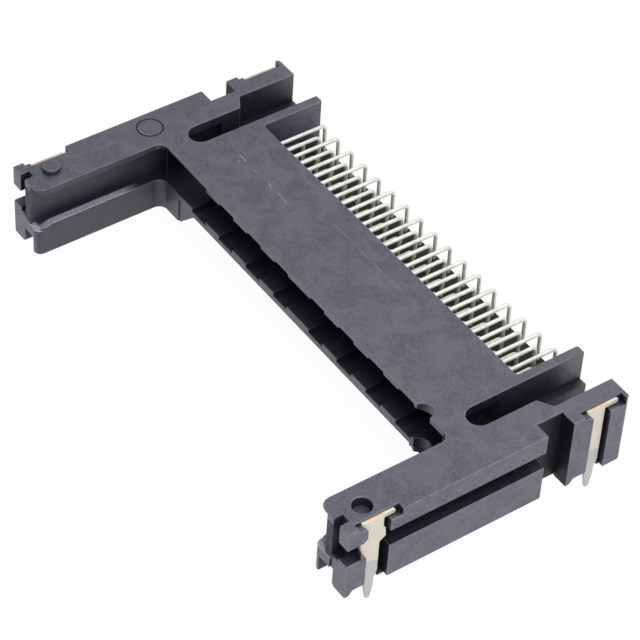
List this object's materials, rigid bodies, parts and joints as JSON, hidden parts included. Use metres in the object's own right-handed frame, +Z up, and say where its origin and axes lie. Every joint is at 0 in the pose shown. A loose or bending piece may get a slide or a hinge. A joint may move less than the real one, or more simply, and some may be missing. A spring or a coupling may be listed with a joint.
{
  "type": "pcmcia card socket",
  "caption": "U-shaped board socket for a PC card: moulded body with two grooved guide arms, two rows of pin contacts with bent tails and sheet board locks.",
  "frame": {"origin": "on the circuit board plane, in the middle plane of the socket, under the front face of the connector body", "axes": "+X along the pin rows, +Y the way the card goes in, +Z up from the board"},
  "size_m": [0.0612, 0.034, 0.0121],
  "materials": {
    "housing_plastic": "satin, glass-filled moulding",
    "aligner_plastic": "matte",
    "lock_tin": "tin plated sheet",
    "contact_plating": "plated wire"
  },
  "bodies": {
    "root": {"housing": "housing_plastic", "tail_aligner": "aligner_plastic", "front_board_lock_left": "lock_tin", "front_board_lock_right": "lock_tin", "rear_board_lock_left": "lock_tin", "rear_board_lock_right": "lock_tin", "contact_pair_01": "contact_plating", "contact_pair_02": "contact_plating", "contact_pair_03": "contact_plating", "contact_pair_04": "contact_plating", "contact_pair_05": "contact_plating", "contact_pair_06": "contact_plating", "contact_pair_07": "contact_plating", "contact_pair_08": "contact_plating", "contact_pair_09": "contact_plating", "contact_pair_10": "contact_plating", "contact_pair_11": "contact_plating", "contact_pair_12": "contact_plating", "contact_pair_13": "contact_plating", "contact_pair_14": "contact_plating", "contact_pair_15": "contact_plating", "contact_pair_16": "contact_plating", "contact_pair_17": "contact_plating", "contact_pair_18": "contact_plating", "contact_pair_19": "contact_plating", "contact_pair_20": "contact_plating", "contact_pair_21": "contact_plating", "contact_pair_22": "contact_plating", "contact_pair_23": "contact_plating", "contact_pair_24": "contact_plating", "contact_pair_25": "contact_plating", "contact_pair_26": "contact_plating", "contact_pair_27": "contact_plating", "contact_pair_28": "contact_plating", "contact_pair_29": "contact_plating", "contact_pair_30": "contact_plating", "contact_pair_31": "contact_plating", "contact_pair_32": "contact_plating", "contact_pair_33": "contact_plating", "contact_pair_34": "contact_plating"}
  },
  "joints": []
}
